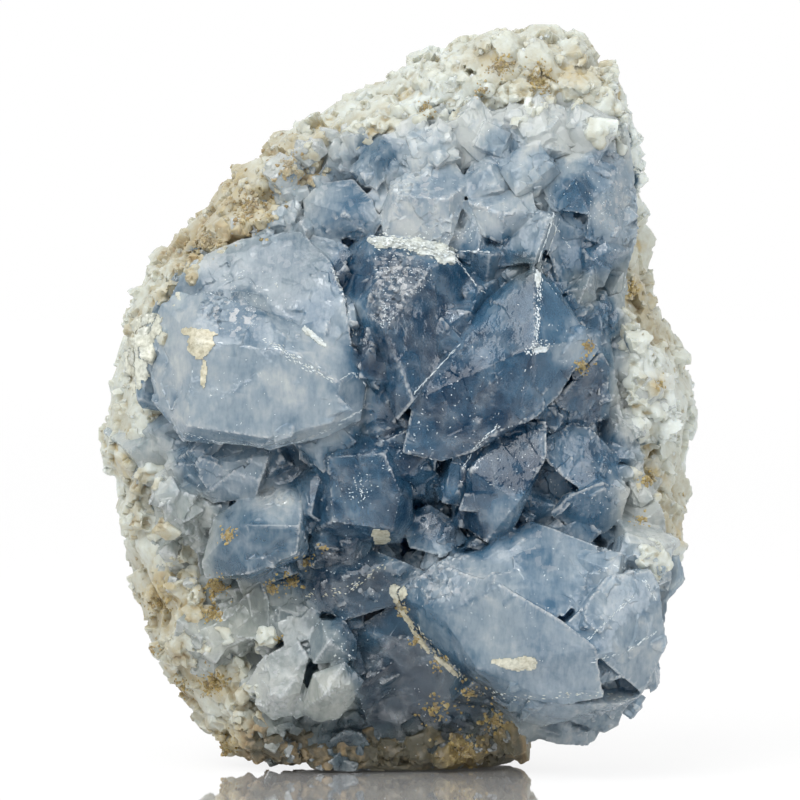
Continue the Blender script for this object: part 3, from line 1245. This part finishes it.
def rind_material(name, gloss, staining):
    """Granular matrix: grey-white, cream and tan grains, with ochre and rust stains."""
    look = Look(name)
    fine = look.noise(look.place(), 1100.0, 4.0, 0.7)
    body = look.ramp(
        look.plus(look.stored("tint"), look.around(fine, 0.5), True),
        (0.0, (0.60, 0.65, 0.63)),
        (0.28, (0.49, 0.51, 0.45)),
        (0.52, (0.38, 0.35, 0.25)),
        (0.78, (0.27, 0.20, 0.11)),
        (1.0, (0.08, 0.075, 0.05)),
    )
    rust = look.ramp(
        fine,
        (0.30, (0.20, 0.12, 0.04)),
        (0.52, (0.41, 0.29, 0.09)),
        (0.70, (0.56, 0.45, 0.20)),
    )
    share = look.times(look.times(look.stored("stain"), look.times(fine, 2.4), True), staining, True)
    colour = look.mixed(look.stored("rooted"), look.mixed(share, body, rust), (0.08, 0.14, 0.19))
    look.put(look.shader["Base Color"], colour)
    look.put(look.shader["Subsurface Weight"], 0.40)
    look.put(look.shader["Subsurface Radius"], (1.0, 0.9, 0.7))
    look.put(look.shader["Subsurface Scale"], 1.8 * MM)
    look.put(look.shader["Roughness"], look.plus(gloss, look.times(fine, 0.3), True))
    look.bump(fine)
    return look.material


def splinter_material():
    """Crushed crystal: white, or cream where it is warm."""
    look = Look("crushed_crystal")
    colour = look.ramp(
        look.stored("warmth"),
        (0.0, (0.66, 0.73, 0.77)),
        (0.5, (0.60, 0.61, 0.52)),
        (1.0, (0.50, 0.46, 0.33)),
    )
    sugar = look.noise(look.place(), 1600.0, 2.0, 0.7)
    worn = look.ramp(sugar, (0.32, (0.62, 0.62, 0.60)), (0.60, (1.0, 1.0, 1.0)))
    look.put(look.shader["Base Color"], look.mixed(1.0, colour, worn, "MULTIPLY"))
    look.put(look.shader["Roughness"], 0.25)
    look.put(look.shader["IOR"], CRYSTAL_IOR)
    return look.material


def floor_material():
    """Pale, glossy table top."""
    look = Look("floor")
    values = {
        "Base Color": (0.88, 0.88, 0.88, 1),
        "Roughness": 0.05,
        "IOR": 2.2,
        "Coat Weight": 1.0,
        "Coat Roughness": 0.03,
        "Coat IOR": 1.8,
        "Emission Color": (1, 1, 1, 1),
        "Emission Strength": 0.04,
    }
    for name, value in values.items():
        look.put(look.shader[name], value)
    return look.material


def dress(piece, material, crease):
    """Gives a piece its material, its sharp edges and its place on the specimen."""
    piece.data.materials.clear()
    piece.data.materials.append(material)
    if crease:
        piece.data.shade_smooth()
        piece.data.set_sharp_from_angle(angle=math.radians(crease))
    else:
        piece.data.shade_flat()
    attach(piece, "root")


def make_floor():
    """A plain pale table."""
    bpy.ops.mesh.primitive_circle_add(vertices=96, radius=2.5, fill_type="NGON", location=(0, 0, -0.0002))
    floor = bpy.context.object
    floor.name = "floor"
    floor.data.materials.append(floor_material())


def make_light(name, location, size, power):
    """A soft white panel that faces the specimen."""
    light = bpy.data.lights.new(name, "AREA")
    light.shape = "RECTANGLE"
    light.size, light.size_y = size
    light.energy = power
    lamp = bpy.data.objects.new(name, light)
    lamp.location = location
    lamp.rotation_euler = (Vector((0, 0, 0.045)) - Vector(location)).to_track_quat("-Z", "Y").to_euler()
    bpy.context.scene.collection.objects.link(lamp)


def make_room():
    """White room: bright above and behind the specimen, dim elsewhere; the camera sees plain white."""
    world = bpy.data.worlds.new("studio")
    bpy.context.scene.world = world
    world.use_nodes = True
    tree = world.node_tree
    room = tree.nodes["Background"]
    room.inputs["Color"].default_value = (1, 1, 1, 1)
    direction = tree.nodes.new("ShaderNodeTexCoord")
    parts = tree.nodes.new("ShaderNodeSeparateXYZ")
    tree.links.new(direction.outputs["Generated"], parts.inputs[0])
    strength = tree.nodes.new("ShaderNodeMath")
    strength.operation = "MAXIMUM"
    for index, (axis, reach) in enumerate((("Z", (-0.2, 0.9, 0.24, 0.80)), ("Y", (0.2, 0.8, 0.10, 1.0)))):
        part = tree.nodes.new("ShaderNodeMapRange")
        for name, value in zip(("From Min", "From Max", "To Min", "To Max"), reach):
            part.inputs[name].default_value = value
        tree.links.new(parts.outputs[axis], part.inputs["Value"])
        tree.links.new(part.outputs[0], strength.inputs[index])
    tree.links.new(strength.outputs[0], room.inputs["Strength"])
    backdrop = tree.nodes.new("ShaderNodeBackground")
    backdrop.inputs["Color"].default_value = (1, 1, 1, 1)
    seen = tree.nodes.new("ShaderNodeLightPath")
    chosen = tree.nodes.new("ShaderNodeMixShader")
    tree.links.new(seen.outputs["Is Camera Ray"], chosen.inputs[0])
    tree.links.new(room.outputs[0], chosen.inputs[1])
    tree.links.new(backdrop.outputs[0], chosen.inputs[2])
    tree.links.new(chosen.outputs[0], tree.nodes["World Output"].inputs["Surface"])


def make_studio():
    """Room, soft panels and the camera at the photograph's angle."""
    make_room()
    make_light("key", (-0.32, -0.46, 0.56), (0.70, 0.70), 5.5)
    make_light("side", (0.45, -0.30, 0.25), (0.20, 0.50), 1.2)
    make_light("glint", (-0.22, -0.42, 0.50), (0.08, 0.08), 0.3)
    camera = bpy.data.cameras.new("camera")
    camera.sensor_width = SENSOR_MM
    camera.lens = SENSOR_MM * CAMERA_DISTANCE / (PHOTO_PX * PIXEL)
    camera.clip_start = 0.05
    camera.clip_end = 20.0
    eye = bpy.data.objects.new("camera", camera)
    eye.location = camera_target() + camera_back() * CAMERA_DISTANCE
    eye.rotation_euler = (-camera_back()).to_track_quat("-Z", "Y").to_euler()
    bpy.context.scene.collection.objects.link(eye)
    bpy.context.scene.camera = eye
    bpy.context.scene.view_settings.view_transform = "Standard"
    bpy.context.scene.cycles.max_bounces = 5
    bpy.context.scene.cycles.transmission_bounces = 4
    bpy.context.scene.cycles.diffuse_bounces = 2
    bpy.context.scene.cycles.glossy_bounces = 2


crust_solid = welded_arrays("crystal_crust")
rind_solid = welded_arrays("matrix")
crystals = grow_crystals(crust_solid)
matrix = grow_rind(rind_solid, crust_solid)
crystals_and_matrix = surface_tree(crystals, matrix)
grains = loose_grains(matrix, crystals_and_matrix)
druse = grow_druse(crystals_and_matrix, surface_tree(crystals))
lumps = grow_seams(surface_tree(crystals, matrix, druse), crust_solid, rind_solid)
everything = surface_tree(crystals, matrix, druse, lumps)
seams = seam_grains(everything)
skins = grow_skins(everything)
splinters = grow_splinters(everything, crust_solid)
celestite = crystal_material()
dress(crystals, celestite, 20)
dress(druse, celestite, 20)
crushed = splinter_material()
dress(splinters, crushed, 0)
dress(skins, crushed, 60)
rind_look = rind_material("matrix_rind", 0.30, 0.62)
dress(matrix, rind_look, 30)
dress(lumps, rind_look, 30)
grain_material = rind_material("matrix_grain", 0.12, 0.95)
dress(grains, grain_material, 0)
dress(seams, grain_material, 0)
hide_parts("crystal_crust")
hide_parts("matrix")
make_floor()
make_studio()
